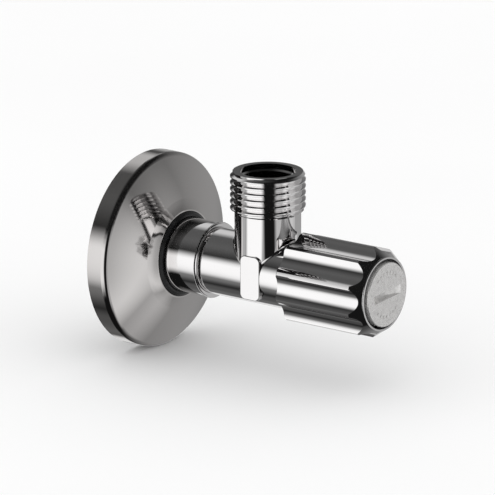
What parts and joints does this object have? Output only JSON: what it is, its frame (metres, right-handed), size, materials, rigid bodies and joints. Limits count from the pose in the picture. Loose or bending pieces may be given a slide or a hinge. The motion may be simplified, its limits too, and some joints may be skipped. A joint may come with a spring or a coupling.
{
  "type": "angle stop valve",
  "caption": "Chrome angle stop valve with a wall rosette, threaded inlet and outlet, fluted turning handle, rising spindle and a filter behind a slotted end plug.",
  "frame": {"origin": "on the inlet axis, in the plane of the wall where the rosette's rim rests", "axes": "+X along the inlet and handle axis, away from the wall; +Z along the outlet; the outside is symmetric about the XZ plane but for the side pad"},
  "size_m": [0.094, 0.0556, 0.0564],
  "materials": {
    "chrome_plated_brass": "polished chrome plating",
    "satin_nickel": "satin nickel plating, fine matt grain",
    "raw_brass": "turned brass",
    "stainless_steel": "stainless steel",
    "black_rubber": "matt black rubber",
    "black_plastic": "matt black plastic",
    "white_plastic": "off-white plastic"
  },
  "bodies": {
    "root": {"valve_body": "chrome_plated_brass", "bonnet": "raw_brass", "bonnet_o_ring": "black_rubber"},
    "rosette_ring": {"rosette_grip_ring": "black_plastic"},
    "rosette": {"rosette": "chrome_plated_brass"},
    "valve_disc": {"washer_holder": "raw_brass", "seat_washer": "black_rubber", "washer_screw": "stainless_steel", "stem_clip": "stainless_steel"},
    "spindle": {"spindle": "raw_brass", "divider_o_ring": "black_rubber", "spindle_o_ring_inner": "black_rubber", "spindle_o_ring_outer": "black_rubber", "handle": "chrome_plated_brass", "handle_insert": "black_plastic", "handle_lock_ring": "black_plastic"},
    "filter": {"filter_frame": "white_plastic", "filter_mesh": "stainless_steel", "filter_o_ring": "black_rubber"},
    "plug": {"filter_plug": "satin_nickel", "plug_o_ring": "black_rubber"}
  },
  "joints": [
    {"name": "rosette_slide", "type": "slide", "parent": "root", "child": "rosette_ring", "axis": [1, 0, 0], "range_m": [0, 0.0095]},
    {"name": "rosette_turn", "type": "hinge", "parent": "rosette_ring", "child": "rosette", "pos_m": [0.0125, 0, 0], "axis": [1, 0, 0], "continuous": true},
    {"name": "spindle_lift", "type": "slide", "parent": "root", "child": "valve_disc", "axis": [1, 0, 0], "range_m": [0, 0.0045]},
    {"name": "handle_turn", "type": "hinge", "parent": "valve_disc", "child": "spindle", "pos_m": [0.067, 0, 0], "axis": [1, 0, 0], "range_deg": [0, 1080]},
    {"name": "filter_slide", "type": "slide", "parent": "spindle", "child": "filter", "axis": [1, 0, 0], "range_m": [0, 0.005]},
    {"name": "plug_turn", "type": "hinge", "parent": "filter", "child": "plug", "pos_m": [0.0813, 0, 0], "axis": [1, 0, 0], "range_deg": [0, 1800]}
  ],
  "couplings": [
    {"joint": "spindle_lift", "follows": "handle_turn", "m_per_rad": 0.00023873},
    {"joint": "filter_slide", "follows": "plug_turn", "m_per_rad": 0.00015915}
  ]
}
